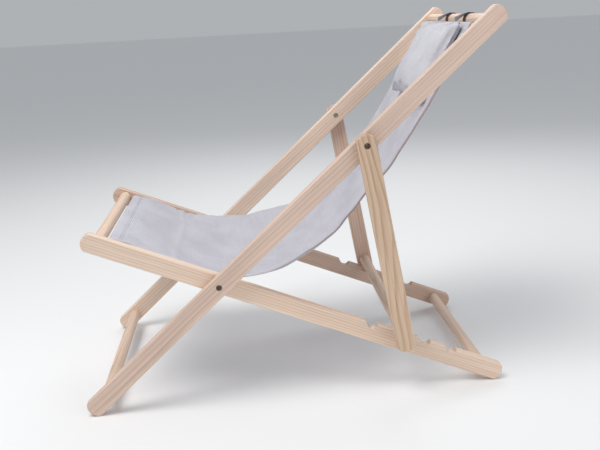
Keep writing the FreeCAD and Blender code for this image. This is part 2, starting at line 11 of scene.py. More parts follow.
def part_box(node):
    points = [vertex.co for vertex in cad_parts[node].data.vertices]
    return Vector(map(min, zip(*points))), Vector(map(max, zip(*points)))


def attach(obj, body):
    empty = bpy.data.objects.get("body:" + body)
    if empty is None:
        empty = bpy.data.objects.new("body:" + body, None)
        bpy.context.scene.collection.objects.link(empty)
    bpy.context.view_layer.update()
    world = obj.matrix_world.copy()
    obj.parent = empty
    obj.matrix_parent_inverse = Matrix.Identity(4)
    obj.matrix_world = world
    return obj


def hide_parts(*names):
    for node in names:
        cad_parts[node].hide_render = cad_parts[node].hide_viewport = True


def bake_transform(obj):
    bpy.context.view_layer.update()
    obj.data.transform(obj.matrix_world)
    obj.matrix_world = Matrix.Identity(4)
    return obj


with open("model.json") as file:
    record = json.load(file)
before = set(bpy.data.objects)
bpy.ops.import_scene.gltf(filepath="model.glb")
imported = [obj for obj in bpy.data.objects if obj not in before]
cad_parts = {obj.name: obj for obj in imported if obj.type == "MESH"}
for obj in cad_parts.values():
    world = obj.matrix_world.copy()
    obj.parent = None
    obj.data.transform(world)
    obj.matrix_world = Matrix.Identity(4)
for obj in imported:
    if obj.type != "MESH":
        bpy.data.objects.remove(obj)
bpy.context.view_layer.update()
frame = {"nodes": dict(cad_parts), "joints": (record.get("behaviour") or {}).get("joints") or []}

# Folding deck chair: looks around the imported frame. Metres, the frame's own axes:
# +X from front to back, +Y to the sitter's right, +Z up.

ACROSS = Vector((0, 1, 0))
joints = {joint["name"]: joint for joint in frame["joints"]}


class Flat:
    """A flat frame square to the chair: x along its rails, z square to them."""

    def __init__(self, origin, along):
        self.origin = Vector(origin)
        self.x = Vector(along).normalized()
        self.z = Vector((-self.x.z, 0, self.x.x))

    def point(self, x, z, y=0.0):
        return self.origin + self.x * x + self.z * z + ACROSS * y

    def tilted(self, origin, degrees):
        turn = math.radians(degrees)
        return Flat(origin, self.x * math.cos(turn) + self.z * math.sin(turn))


def centre(node):
    """Middle of a CAD node's box."""
    low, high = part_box(node)
    return (low + high) / 2


def in_plane(point):
    """A point brought to the chair's centre plane."""
    return Vector((point.x, 0, point.z))


MAIN_PIVOT = in_plane(Vector(joints["seat_fold"]["pos_m"]))
PROP_PIVOT = in_plane(Vector(joints["prop_swing"]["pos_m"]))
TOP_BAR = in_plane(Vector(joints["headrest_flip"]["pos_m"]))
back_frame = Flat(MAIN_PIVOT, PROP_PIVOT - MAIN_PIVOT)
seat_frame = Flat(MAIN_PIVOT, in_plane(centre("rear_crossbar")) - MAIN_PIVOT)
prop_frame = Flat(PROP_PIVOT, in_plane(centre("prop_crossbar")) - PROP_PIVOT)


# ---- node graphs ----

class Graph:
    """Short hand for building one material's nodes."""

    def __init__(self, name):
        self.material = bpy.data.materials.new(name)
        self.material.use_nodes = True
        self.tree = self.material.node_tree
        self.shader = self.tree.nodes["Principled BSDF"]

    def add(self, kind, inputs=(), **settings):
        """A node with its settings, and its inputs by index or name."""
        node = self.tree.nodes.new("ShaderNode" + kind)
        for key, value in settings.items():
            setattr(node, key, value)
        for key, value in dict(inputs).items():
            self.put(node.inputs[key], value)
        return node

    def put(self, socket, value):
        if isinstance(value, bpy.types.NodeSocket):
            self.tree.links.new(value, socket)
        else:
            socket.default_value = value

    def math(self, operation, a, b=0.0):
        return self.add("Math", {0: a, 1: b}, operation=operation).outputs[0]

    def times(self, a, b):
        return self.math("MULTIPLY", a, b)

    def plus(self, a, b):
        return self.math("ADD", a, b)

    def vector(self, operation, a, b):
        node = self.add("VectorMath", {0: a, 1: b}, operation=operation)
        return node.outputs["Value"] if operation == "DOT_PRODUCT" else node.outputs["Vector"]

    def xyz(self, x, y, z):
        return self.add("CombineXYZ", {0: x, 1: y, 2: z}).outputs[0]

    def range(self, value, low, high, to_low=0.0, to_high=1.0):
        """Smooth step of a value from one range to another."""
        return self.add("MapRange", {0: value, 1: low, 2: high, 3: to_low, 4: to_high},
                        interpolation_type="SMOOTHSTEP").outputs[0]

    def noise(self, vector, scale, detail=2.0, rough=0.5):
        return self.add("TexNoise", {"Vector": vector, "Scale": scale, "Detail": detail,
                                     "Roughness": rough}).outputs[0]

    def grain(self, x, y, z, along, around, detail, rough=0.5):
        """Noise drawn out along x: along is its scale that way, around the scale across."""
        place = self.xyz(self.times(x, along), self.times(y, around), self.times(z, around))
        return self.noise(place, 1.0, detail, rough)

    def mix(self, factor, a, b, blend="MIX"):
        node = self.add("Mix", data_type="RGBA", blend_type=blend)
        self.put(node.inputs["Factor"], factor)
        self.put(node.inputs[6], a)
        self.put(node.inputs[7], b)
        return node.outputs[2]

    def scaled(self, colour, factor):
        """A colour made lighter or darker by a factor that varies."""
        grey = self.xyz(factor, factor, factor)
        return self.mix(1.0, colour, grey, "MULTIPLY")

    def bump(self, height, strength, distance):
        node = self.add("Bump", {"Height": height, "Strength": strength, "Distance": distance})
        self.put(self.shader.inputs["Normal"], node.outputs[0])


def colour(red, green, blue):
    """A colour given as screen values from 0 to 255, made linear. All are well above black."""
    linear = [((c / 255 + 0.055) / 1.055) ** 2.4 for c in (red, green, blue)]
    return (*linear, 1.0)


# ---- wood ----

# Scales of the noises in the wood: along the grain, across it, detail and roughness
PITH_DRIFT_ACROSS = 9.0
FIBRE = (7.0, 620.0, 4.0, 0.65)
STREAK = (1.6, 85.0, 3.0, 0.6)
FLECK = (210.0, 1500.0, 1.0)
TONE = (3.0, 12.0, 1.0)
SEED_STEP = 1.7
RING_EARLY = (0.15, 0.88)
RING_LATE = (0.90, 1.0)
RING_SHOW = 0.8
FLECK_SHOW = 0.13
END_GRAIN_SHADE = 0.20
END_GRAIN_ROUGH = 0.18
WORN_SHOW = 0.5
WORN_EDGE = (242, 222, 200)
# The worn strip on an edge, as distances in from the face
EDGE_INNER = 0.0032
EDGE_OUTER = 0.0006
WOOD_SPECULAR = 0.38
WOOD_BUMP = (0.45, 0.00035)


def wood(name, origin, along, square, across, half=None, light=(230, 205, 184), dark=(202, 168, 142),
         pith=(0.05, -0.09), slope=0.03, ring=0.0042, wander=0.012, seed=0.0, wave=2.2):
    """Planed wood with growth rings around a pith line that drifts along the piece.

    along, square and across are the piece's own axes. half is the half size of its
    section, for the worn edges, or None for a round piece.
    """
    g = Graph(name)
    coordinates = g.add("TexCoord")
    place = g.vector("SUBTRACT", coordinates.outputs["Object"], tuple(origin))
    x = g.vector("DOT_PRODUCT", place, tuple(along))
    y = g.vector("DOT_PRODUCT", place, tuple(across))
    z = g.vector("DOT_PRODUCT", place, tuple(square))
    shifted = g.plus(x, seed * SEED_STEP)
    drift = g.grain(shifted, y, z, wave, PITH_DRIFT_ACROSS, 2.0)
    drift = g.times(g.math("SUBTRACT", drift, 0.5), wander * 2)
    from_pith_y = g.plus(g.math("SUBTRACT", y, pith[0]), drift)
    from_pith_z = g.plus(g.math("SUBTRACT", z, pith[1]), g.times(x, slope))
    radius = g.math("SQRT", g.plus(g.times(from_pith_y, from_pith_y), g.times(from_pith_z, from_pith_z)))
    phase = g.math("FRACT", g.math("DIVIDE", radius, ring))
    early = g.range(phase, *RING_EARLY)
    late = g.range(phase, *RING_LATE, 1.0, 0.0)
    rings = g.times(g.times(early, early), late)

    fibre = g.grain(shifted, y, z, *FIBRE)
    streak = g.grain(shifted, y, z, *STREAK)
    fleck = g.range(g.grain(shifted, y, z, *FLECK), 0.64, 0.74)
    tone = g.grain(shifted, y, z, *TONE)

    ring_depth = g.times(rings, g.range(streak, 0.3, 0.7, 0.35, 0.95))
    base = g.mix(g.times(ring_depth, RING_SHOW), colour(*light), colour(*dark))
    base = g.mix(g.range(streak, 0.42, 0.78, 0.0, 0.30), base, colour(*dark))
    base = g.scaled(base, g.range(fibre, 0.2, 0.8, 0.86, 1.08))
    base = g.scaled(base, g.range(tone, 0.25, 0.75, 0.92, 1.06))
    base = g.scaled(base, g.math("SUBTRACT", 1.0, g.times(fleck, FLECK_SHOW)))
    facing = g.math("ABSOLUTE", g.vector("DOT_PRODUCT", coordinates.outputs["Normal"], tuple(along)))
    end_grain = g.range(facing, 0.55, 0.95)
    base = g.scaled(base, g.math("SUBTRACT", 1.0, g.times(end_grain, END_GRAIN_SHADE)))
    if half:
        edge_y = g.range(g.math("ABSOLUTE", y), half[0] - EDGE_INNER, half[0] - EDGE_OUTER)
        edge_z = g.range(g.math("ABSOLUTE", z), half[1] - EDGE_INNER, half[1] - EDGE_OUTER)
        edge = g.times(edge_y, edge_z)
        worn = g.times(edge, g.range(tone, 0.3, 0.7, 0.25, 0.8))
        base = g.mix(g.times(worn, WORN_SHOW), base, colour(*WORN_EDGE))
    g.put(g.shader.inputs["Base Color"], base)
    rough = g.plus(g.range(fibre, 0.2, 0.8, 0.42, 0.56), g.times(end_grain, END_GRAIN_ROUGH))
    g.put(g.shader.inputs["Roughness"], rough)
    g.shader.inputs["Specular IOR Level"].default_value = WOOD_SPECULAR
    grain_relief = g.plus(g.times(fibre, 0.5), g.times(rings, 0.35))
    g.bump(g.math("SUBTRACT", grain_relief, g.times(fleck, 0.5)), *WOOD_BUMP)
    return g.material


# Half the rail's section, across the chair and square to the rail
RAIL_HALF = (0.010, 0.020)
GOLDEN = 0.618034


def share(n):
    """An even scatter of numbers from 0 to 1, the same every run."""
    return (n * GOLDEN) % 1.0


def rail_wood(node, flat, n, **look):
    """Wood for a rail, grained along it."""
    look.setdefault("pith", (0.035 + 0.05 * share(n), -0.03 - 0.08 * share(n + 3)))
    look.setdefault("slope", 0.018 + 0.03 * share(n + 5))
    middle = centre(node)
    origin = flat.point(0, 0, middle.y)
    material = wood("wood_" + node, origin, flat.x, flat.z, ACROSS, RAIL_HALF, seed=n + 1.0, **look)
    paint(node, material)


def bar_wood(node, n, **look):
    """Wood for a round bar, grained across the chair."""
    look.setdefault("pith", (0.035 + 0.03 * share(n), -0.04 - 0.04 * share(n + 2)))
    look.setdefault("ring", 0.0038)
    look.setdefault("wander", 0.006)
    material = wood("wood_" + node, centre(node), ACROSS, Vector((0, 0, 1)), Vector((1, 0, 0)),
                    seed=n + 11.0, slope=0.02, **look)
    paint(node, material)


def paint(node, material):
    """Give a CAD node its finished material."""
    mesh = frame["nodes"][node].data
    mesh.materials.clear()
    mesh.materials.append(material)
    for face in mesh.polygons:
        face.material_index = 0


PINK_TAN = {"light": (222, 197, 181), "dark": (200, 170, 152)}
PEACH = {"light": (236, 213, 194), "dark": (216, 180, 154)}
HONEY = {"light": (214, 186, 160), "dark": (172, 132, 102)}
BROWNER = {"light": (214, 186, 168), "dark": (182, 146, 124)}
rail_wood("long_rail_left", back_frame, 0, pith=(0.12, -0.05), ring=0.0034, wander=0.005, **PINK_TAN)
rail_wood("long_rail_right", back_frame, 1, ring=0.0075, wander=0.014, pith=(-0.03, -0.10), **PEACH)
rail_wood("seat_rail_left", seat_frame, 2, ring=0.0058, wander=0.007, slope=0.010, pith=(0.045, -0.15),
          **PEACH)
rail_wood("seat_rail_right", seat_frame, 3, ring=0.0062, wander=0.010, pith=(-0.05, -0.12), **BROWNER)
rail_wood("prop_leg_left", prop_frame, 4, ring=0.0072, wander=0.017, wave=3.4, slope=0.022,
          pith=(0.055, 0.050), **HONEY)
rail_wood("prop_leg_right", prop_frame, 5, ring=0.0060, wander=0.010, pith=(-0.06, 0.08), **BROWNER)
for number, bar in enumerate(("foot_crossbar", "top_crossbar", "front_crossbar", "rear_crossbar",
                              "prop_crossbar", "sling_rod_top", "sling_rod_front")):
    bar_wood(bar, number)


# ---- metal ----

STAIN_SCALE = 260.0
SCRATCH_SCALE = 5200.0
SCRATCH_DRAW = (1.0, 0.15, 1.0)
ROUGH_SPREAD = 0.18
METAL_BUMP = (0.2, 0.0001)


def metal(name, base, rough, worn):
    """Turned steel: fine scratches, stains and brighter worn patches."""
    g = Graph(name)
    place = g.add("TexCoord").outputs["Object"]
    stain = g.noise(place, STAIN_SCALE, 3.0, 0.6)
    scratch = g.noise(g.vector("MULTIPLY", place, SCRATCH_DRAW), SCRATCH_SCALE, 2.0, 0.7)
    blended = g.mix(g.range(stain, 0.45, 0.72), colour(*base), colour(*worn))
    g.put(g.shader.inputs["Base Color"], g.scaled(blended, g.range(scratch, 0.3, 0.7, 0.85, 1.1)))
    g.put(g.shader.inputs["Roughness"], g.range(stain, 0.3, 0.7, rough, rough + ROUGH_SPREAD))
    g.shader.inputs["Metallic"].default_value = 1.0
    g.bump(scratch, *METAL_BUMP)
    return g.material


blackened = metal("blackened_steel", (96, 84, 76), 0.34, (150, 134, 120))
nickel = metal("nickel_steel", (168, 156, 140), 0.26, (205, 196, 182))
zinc = metal("zinc_steel", (178, 176, 170), 0.36, (208, 206, 200))
for side in ("left", "right"):
    for pivot in ("main", "prop"):
        paint(f"{pivot}_pivot_bolt_{side}", blackened)
        paint(f"{pivot}_pivot_nut_{side}", nickel)
        paint(f"{pivot}_pivot_washer_{side}", zinc)


# ---- cloth materials ----

# Without a flat layout, this share of the x axis is added to the z axis to run the weft
WEFT_LEAN = 0.55
THREAD_WOBBLE = (90.0, 0.0007)
SLUB_ALONG = 14.0
SLUB_ACROSS = 900.0
WEFT_SLUB_PLACE = 5.0
MOTTLE_SCALE = 14.0
FADE_SCALE = 3.0
HEM_SOFT = 0.0012
# Distance along the cloth over which the painted shade on the side hems comes in
# Painted shade: a mauve grey that stands in for the shadowed underside of the turned-down side hems on the
# back
HEM_SHADE_FROM, HEM_SHADE_TO = 0.40, 0.52
HEM_SHADE_SHOW = 0.85
HEM_PAINTED_SHADE = (158, 142, 144)
CLOTH_SPECULAR = 0.22
CLOTH_SHEEN = 0.18
CLOTH_SHEEN_ROUGH = 0.45
CLOTH_BUMP = (0.5, 0.00022)


def canvas(name, base, shade, from_uv, pitch=0.0009, mottle=0.5, shaded_hem_from=None):
    """Plain-weave canvas: over and under threads, slubs, soft mottling and a little fuzz.

    shaded_hem_from is how far from the middle the painted shade of the turned-down hem begins, or None for
    none.
    """
    g = Graph(name)
    coordinates = g.add("TexCoord")
    place = coordinates.outputs["UV" if from_uv else "Object"]
    parts = g.add("SeparateXYZ", {0: place})
    turns = 2 * math.pi / pitch
    if from_uv:
        warp, weft = parts.outputs[0], parts.outputs[1]
    else:
        warp = parts.outputs[1]
        weft = g.plus(g.times(parts.outputs[0], WEFT_LEAN), parts.outputs[2])
    wobble_scale, wobble_size = THREAD_WOBBLE
    wobble = g.times(g.noise(place, wobble_scale, 2.0), wobble_size)
    warp_wave = g.math("SINE", g.times(g.plus(warp, wobble), turns))
    weft_wave = g.math("SINE", g.times(g.plus(weft, wobble), turns))
    weave = g.times(warp_wave, weft_wave)
    warp_place = g.xyz(g.times(warp, SLUB_ACROSS), g.times(weft, SLUB_ALONG), 0.0)
    weft_place = g.xyz(g.times(warp, SLUB_ALONG), g.times(weft, SLUB_ACROSS),
                       WEFT_SLUB_PLACE)
    slub_sum = g.plus(g.noise(warp_place, 1.0, 2.0), g.noise(weft_place, 1.0, 2.0))
    slubs = g.times(slub_sum, 0.5)
    mottling = g.noise(coordinates.outputs["Object"], MOTTLE_SCALE, 3.0, 0.55)
    fade = g.noise(coordinates.outputs["Object"], FADE_SCALE, 2.0, 0.5)
    base_colour = g.mix(g.range(mottling, 0.35, 0.68, 0.0, mottle), colour(*base), colour(*shade))
    base_colour = g.scaled(base_colour, g.range(slubs, 0.3, 0.7, 0.92, 1.05))
    base_colour = g.scaled(base_colour, g.range(weave, -1.0, 1.0, 0.95, 1.03))
    base_colour = g.scaled(base_colour, g.range(fade, 0.3, 0.7, 0.965, 1.02))
    # Painted shade on the outer hem toward the back, where the turned-down hem lies in shadow
    if shaded_hem_from:
        outside = g.range(g.math("ABSOLUTE", warp), shaded_hem_from, shaded_hem_from + HEM_SOFT)
        on_back = g.range(weft, HEM_SHADE_FROM, HEM_SHADE_TO)
        painted_hem_shade = g.times(g.times(outside, on_back), HEM_SHADE_SHOW)
        base_colour = g.mix(painted_hem_shade, base_colour, colour(*HEM_PAINTED_SHADE))
    g.put(g.shader.inputs["Base Color"], base_colour)
    g.put(g.shader.inputs["Roughness"], g.range(slubs, 0.3, 0.7, 0.82, 0.94))
    g.shader.inputs["Specular IOR Level"].default_value = CLOTH_SPECULAR
    g.shader.inputs["Sheen Weight"].default_value = CLOTH_SHEEN
    g.shader.inputs["Sheen Roughness"].default_value = CLOTH_SHEEN_ROUGH
    relief = g.plus(g.times(weave, 0.35), g.times(slubs, 1.2))
    g.bump(relief, *CLOTH_BUMP)
    return g.material


SLING_HALF = (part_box("sling_back")[1].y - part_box("sling_back")[0].y) / 2
HEM = 0.012
# Share of the hem, in from its outer edge, that gets the painted shade
HEM_SHADED = 0.45
sling_cloth = canvas("sling_canvas", (197, 196, 204), (178, 177, 187), True,
                     shaded_hem_from=SLING_HALF - HEM_SHADED * HEM)
pillow_cloth = canvas("pillow_canvas", (200, 199, 206), (180, 179, 189), False)
thread = canvas("sewing_thread", (150, 149, 158), (132, 130, 140), False, 0.0005)
# Painted shadow: dark brown cloth for the ring round the top crossbar that stands in for each strap's
# shadow on the bar
painted_strap_shadow = canvas("painted_strap_shadow", (84, 66, 62), (60, 46, 44), False, 0.0008)


# ---- mesh helpers ----

def shade_smooth(mesh):
    mesh.polygons.foreach_set("use_smooth", [True] * len(mesh.polygons))


def make_object(name, verts, faces, material, uvs=None):
    """A smooth mesh object from points and faces. uvs holds one pair per point."""
    mesh = bpy.data.meshes.new(name)
    mesh.from_pydata([tuple(v) for v in verts], [], faces)
    mesh.validate()
    mesh.materials.append(material)
    if uvs is not None:
        layer = mesh.uv_layers.new(name="flat")
        for loop in mesh.loops:
            layer.data[loop.index].uv = uvs[loop.vertex_index]
    shade_smooth(mesh)
    obj = bpy.data.objects.new(name, mesh)
    bpy.context.scene.collection.objects.link(obj)
    return obj


CURVE_STEPS = 16


def smooth_path(points, step):
    """Even points along a smooth curve through the given ones."""
    points = [Vector(p) for p in points]
    ends = [points[0] * 2 - points[1]] + points + [points[-1] * 2 - points[-2]]
    dense = []
    for before, start, end, after in zip(ends, ends[1:], ends[2:], ends[3:]):
        leave = (end - before) / ((end - before).length + 1e-9) * (end - start).length
        arrive = (after - start) / ((after - start).length + 1e-9) * (end - start).length
        for n in range(CURVE_STEPS):
            s = n / CURVE_STEPS
            dense.append(start * (2 * s ** 3 - 3 * s ** 2 + 1) + leave * (s ** 3 - 2 * s ** 2 + s)
                         + end * (3 * s ** 2 - 2 * s ** 3) + arrive * (s ** 3 - s ** 2))
    dense.append(points[-1])
    return even(dense, step)


def even(points, step):
    """The same polyline with points a step apart."""
    table = np.array([tuple(p) for p in points], float)
    runs = np.concatenate([[0], np.cumsum(np.linalg.norm(np.diff(table, axis=0), axis=1))])
    count = max(2, round(runs[-1] / step) + 1)
    at = np.linspace(0, runs[-1], count)
    return [Vector([np.interp(a, runs, table[:, k]) for k in range(3)]) for a in at]


# ---- sling ----

# Half the cloth's thickness, and what the folded hem adds to it
CLOTH_HALF = 0.0006
HEM_EXTRA = 0.0005
# Radii of the sling rods and of the sleeve's cloth round them
ROD = 0.007
LOOP = ROD + 0.0008
# From the rod to the first stitch row, between the two rows, and the flap past the first
SLEEVE_SEAM = 0.0125
SEAM_ROWS = 0.0042
FLAP = 0.007
# The sleeve's two layers are sewn together this far under the top of the rod's loop
SEWN_UNDER = 0.0016
# The pillow leans this much from the long rails, in degrees
PILLOW_TILT = 18.5

front_rod = in_plane(centre("sling_rod_front"))
top_rod = in_plane(centre("sling_rod_top"))
pillow_frame = back_frame.tilted(TOP_BAR, PILLOW_TILT)

# Side view of the cloth's hems, given along and square to each frame's rails.
# The cloth hangs a little lower at the sitter's left hem than at the right one.
LEFT_IN_SEAT = [(-0.205, 0.0165), (-0.160, 0.0110), (-0.110, 0.0045), (-0.060, 0.0020),
                (-0.010, 0.0095), (0.045, 0.0275)]
LEFT_IN_BACK = [(0.100, -0.0650), (0.160, -0.0810), (0.240, -0.0945), (0.290, -0.0885),
                (0.345, -0.0830), (0.420, -0.0780), (0.480, -0.0640), (0.540, -0.0480),
                (0.600, -0.0290), (0.650, -0.0135)]
RIGHT_IN_SEAT = [(-0.205, 0.0195), (-0.150, 0.0190), (-0.105, 0.0180), (-0.060, 0.0270),
                 (-0.018, 0.0390), (0.030, 0.0570)]
RIGHT_IN_BACK = [(0.096, -0.0245), (0.140, -0.0490), (0.190, -0.0765), (0.255, -0.0880),
                 (0.345, -0.0840), (0.420, -0.0760), (0.480, -0.0640), (0.540, -0.0480),
                 (0.600, -0.0290), (0.650, -0.0135)]

# How deep the middle hangs below the hems, against the share of the span from the front rod
SAG_AT = [0.0, 0.10, 0.24, 0.34, 0.44, 0.60, 0.78, 0.90, 1.0]
SAG_DEEP = [0.0, 0.012, 0.040, 0.057, 0.053, 0.038, 0.020, 0.008, 0.0]


LOOP_STEPS = 22
FLAP_STEP = 0.004


def sleeve_loop(rod, inward, outward):
    """The hem around a rod: flap, seam, round the rod and on to the free cloth.

    inward points from the rod along the cloth, outward to the cloth's upper face.
    """
    height = LOOP - SEWN_UNDER
    seam = rod + inward * SLEEVE_SEAM + outward * height
    flap = seam + inward * FLAP
    reach = math.hypot(SLEEVE_SEAM, height)
    start = math.atan2(height, SLEEVE_SEAM) - math.acos(LOOP / reach)
    finish = -1.5 * math.pi
    turns = [start + (finish - start) * n / LOOP_STEPS for n in range(LOOP_STEPS + 1)]
    loop = [rod + (inward * math.cos(a) + outward * math.sin(a)) * LOOP for a in turns]
    return even([flap, seam, loop[0]], FLAP_STEP)[:-1] + loop


SPAN_POINTS = 200
SPAN_STEP = 0.002


def hem_line(in_seat, in_back):
    """Side view of one hem from flap to flap, and the numbers of its free span's two ends."""
    front = sleeve_loop(front_rod, seat_frame.x, seat_frame.z)
    top = sleeve_loop(top_rod, -pillow_frame.x, pillow_frame.z)
    free = [front[-1]] + [seat_frame.point(*p) for p in in_seat]
    free += [back_frame.point(*p) for p in in_back] + [top[-1]]
    span = smooth_path(free, SPAN_STEP)
    picks = np.linspace(0, len(span) - 1, SPAN_POINTS).round().astype(int)
    span = [span[k] for k in picks]
    line = front[:-1] + span + top[-2::-1]
    return np.array([tuple(p) for p in line]), len(front) - 1, len(front) + SPAN_POINTS - 2


def runs_of(line):
    """Distance along a line at each of its points."""
    return np.concatenate([[0], np.cumsum(np.linalg.norm(np.diff(line, axis=0), axis=1))])


def normals_of(line, runs):
    """Upward normals of a line in the side view."""
    tangent = np.gradient(line, runs, axis=0)
    tangent /= np.linalg.norm(tangent, axis=1)[:, None]
    return np.stack([-tangent[:, 2], tangent[:, 1], tangent[:, 0]], axis=1)


left_line, span_first, span_last = hem_line(LEFT_IN_SEAT, LEFT_IN_BACK)
right_line = hem_line(RIGHT_IN_SEAT, RIGHT_IN_BACK)[0]
left_runs, right_runs = runs_of(left_line), runs_of(right_line)
sling_run = (left_runs + right_runs) / 2
hem_table = np.hstack([left_line, right_line, normals_of(left_line, left_runs),
                       normals_of(right_line, right_runs)])
SPAN_START = float(sling_run[span_first])
SPAN_END = float(sling_run[span_last])
SEAT_CREASE_AFTER = 0.137
SEAT_CREASE = SPAN_START + SEAT_CREASE_AFTER

# Creases that run out from the front sleeve: place across, length and depth
SLEEVE_CREASES = [(0.092, 0.050, 0.0050), (0.060, 0.030, 0.0030), (0.010, 0.050, 0.0058),
                  (-0.018, 0.045, 0.0050), (0.150, 0.030, 0.0034), (-0.095, 0.036, 0.0036),
                  (-0.150, 0.028, 0.0030)]
# Creases that run in from the sitter's right hem: place along, reach and depth
HEM_CREASES = [(0.112, 0.040, 0.0030), (0.137, 0.055, 0.0036), (0.160, 0.036, 0.0028),
               (0.215, 0.050, 0.0022), (0.300, 0.045, 0.0018), (0.560, 0.050, 0.0018)]


def span_share(run):
    """0 at the front rod, 1 at the top rod, along the cloth."""
    return min(1.0, max(0.0, (run - SPAN_START) / (SPAN_END - SPAN_START)))


def sag_at(share_of_span):
    return float(np.interp(share_of_span, SAG_AT, SAG_DEEP))


def bell(offset, width):
    return math.exp(-(offset / width) ** 2)


# Depths of the cloth's relief, and how far or how wide each part of it runs
SLEEVE_STIR = 0.00020
GATHER_DEEP, GATHER_REACH = 0.0022, 0.070
SOFT_DEEP, SLANT_DEEP = 0.0026, 0.0015
SEAT_FOLD_HIGH, SEAT_FOLD_WIDE = 0.0022, 0.0075
SEAT_DIP_DEEP, SEAT_DIP_WIDE, SEAT_DIP_AFTER = 0.0013, 0.014, 0.10
PULL_DEEP, PULL_WIDE = 0.0016, 0.030
CREASE_WIDE, CREASE_RISE = 0.0042, 0.008
RIDGE_SHARE, RIDGE_ASIDE, RIDGE_WIDE = 0.5, 0.010, 0.006
HEM_CREASE_WIDE = 0.0050
SEAM_DEEP, SEAM_WIDE = 0.0009, 0.0010
SEAM_CALM = 0.012
# Over the sewn flap the face doesn't sink further than this
FLAP_SINK = -0.0001
FLAP_MARGIN = 0.002
# Above this share of the span the cloth hangs almost smooth
CALM_FROM, CALM_OVER, CALM_BY = 0.72, 0.1, 0.85


def wrinkle(run, y):
    """Small creases: gathers by the sleeves, soft waves, a fold across the seat."""
    from_front = run - SPAN_START
    from_top = SPAN_END - run
    from_rod = min(from_front, from_top)
    if from_rod < 0:
        return SLEEVE_STIR * noise.noise(Vector((y * 55, run * 40, 9.0)))
    gathers = noise.noise(Vector((y * 46, run * 7, 1.0)))
    near_rods = math.exp(-from_front / GATHER_REACH) + 0.5 * math.exp(-from_top / GATHER_REACH)
    calm = 1 - CALM_BY * min(1.0, max(0.0, (span_share(run) - CALM_FROM) / CALM_OVER))
    soft = noise.noise(Vector((y * 9, run * 6, 2.0))) * SOFT_DEEP * calm
    slant = noise.noise(Vector((y * 13 + run * 9, run * 17 - y * 6, 6.0))) * SLANT_DEEP * calm
    past_fold = run - (SEAT_CREASE - 0.03 * y + 0.004 * math.sin(y * 17))
    fold = bell(past_fold, SEAT_FOLD_WIDE) * SEAT_FOLD_HIGH
    dip = bell(past_fold - SEAT_DIP_AFTER, SEAT_DIP_WIDE) * SEAT_DIP_DEEP
    pull = bell(SLING_HALF - abs(y), PULL_WIDE) * noise.noise(Vector((run * 26, y * 3, 8.0))) * PULL_DEEP
    total = near_rods * gathers * GATHER_DEEP + soft + slant + fold - dip + pull
    out = from_front - SLEEVE_SEAM
    if out > 0:
        for place, length, depth in SLEEVE_CREASES:
            bend = y - place - 0.12 * from_front * math.sin(place * 90)
            strength = depth * min(1.0, out / CREASE_RISE) * math.exp(-out / length)
            total -= strength * bell(bend, CREASE_WIDE)
            total += strength * RIDGE_SHARE * bell(bend - RIDGE_ASIDE, RIDGE_WIDE)
    inside = SLING_HALF - y
    for place, reach, depth in HEM_CREASES:
        bend = from_front - place - 0.25 * inside * math.sin(place * 70)
        total -= depth * bell(bend, HEM_CREASE_WIDE) * math.exp(-inside / reach)
    if from_rod < SLEEVE_SEAM + FLAP + FLAP_MARGIN:
        total = max(total, FLAP_SINK)
    groove = 0.0
    for seam_row in (SLEEVE_SEAM, SLEEVE_SEAM + SEAM_ROWS):
        groove += bell(from_rod - seam_row, SEAM_WIDE) * SEAM_DEEP
    return (1 - math.exp(-from_rod / SEAM_CALM)) * total - groove


def cloth_row(run):
    """Both hems' points and normals at one distance along the cloth."""
    row = [float(np.interp(run, sling_run, hem_table[:, k])) for k in range(12)]
    return run, Vector(row[0:3]), Vector(row[3:6]), Vector(row[6:9]), Vector(row[9:12])


# Side hems turn down by up to this much, less toward the seat and at the rods
HEM_TURN = math.radians(74)
HEM_TURN_LEAST = 0.01
HEM_TURN_RISE = 2.4
HEM_TURN_SEAT = 0.35


def cloth_point(row, y, lift):
    """A point of the sling: a row of it, the place across, and the lift off its mid-surface."""
    run, left, right, left_up, right_up = row
    toward_right = (y + SLING_HALF) / (2 * SLING_HALF)
    position = left.lerp(right, toward_right)
    normal = left_up.lerp(right_up, toward_right).normalized()
    share_of_span = span_share(run)
    sag = sag_at(share_of_span) * (1 - (abs(y) / SLING_HALF) ** 2)
    curl = min(1.0, HEM_TURN_RISE * math.sin(math.pi * share_of_span))
    curl *= HEM_TURN_SEAT + (1 - HEM_TURN_SEAT) * share_of_span
    turn = HEM_TURN * curl
    past = abs(y) - (SLING_HALF - HEM)
    drop = 0.0
    side = y
    out = normal
    if past > 0 and turn > HEM_TURN_LEAST:
        bend = turn * past / HEM
        drop = HEM / turn * (1 - math.cos(bend))
        side = math.copysign(SLING_HALF - HEM + HEM / turn * math.sin(bend), y)
        out = normal * math.cos(bend) + ACROSS * math.copysign(math.sin(bend), y)
    offset = wrinkle(run, y) - sag - drop
    return position + ACROSS * side + normal * offset + out * lift


SEAM_MARGIN = 0.003
SEAM_STATION_STEP = 0.0007
ACROSS_POINTS = 81
HEM_STEPS = 5


def along_stations():
    """Distances along the cloth for its rows, closer together at the seams."""
    close = []
    for start in (SPAN_START + SLEEVE_SEAM, SPAN_END - SLEEVE_SEAM - SEAM_ROWS):
        close += list(np.arange(start - SEAM_MARGIN, start + SEAM_ROWS + SEAM_MARGIN, SEAM_STATION_STEP))
    return sorted(set(list(sling_run) + close))


def across_stations():
    """Places across the cloth, closer together in the hems."""
    inner = SLING_HALF - HEM
    middle = list(np.linspace(-inner, inner, ACROSS_POINTS))
    hem = [inner + HEM * n / HEM_STEPS for n in range(1, HEM_STEPS + 1)]
    return [-y for y in reversed(hem)] + middle + hem


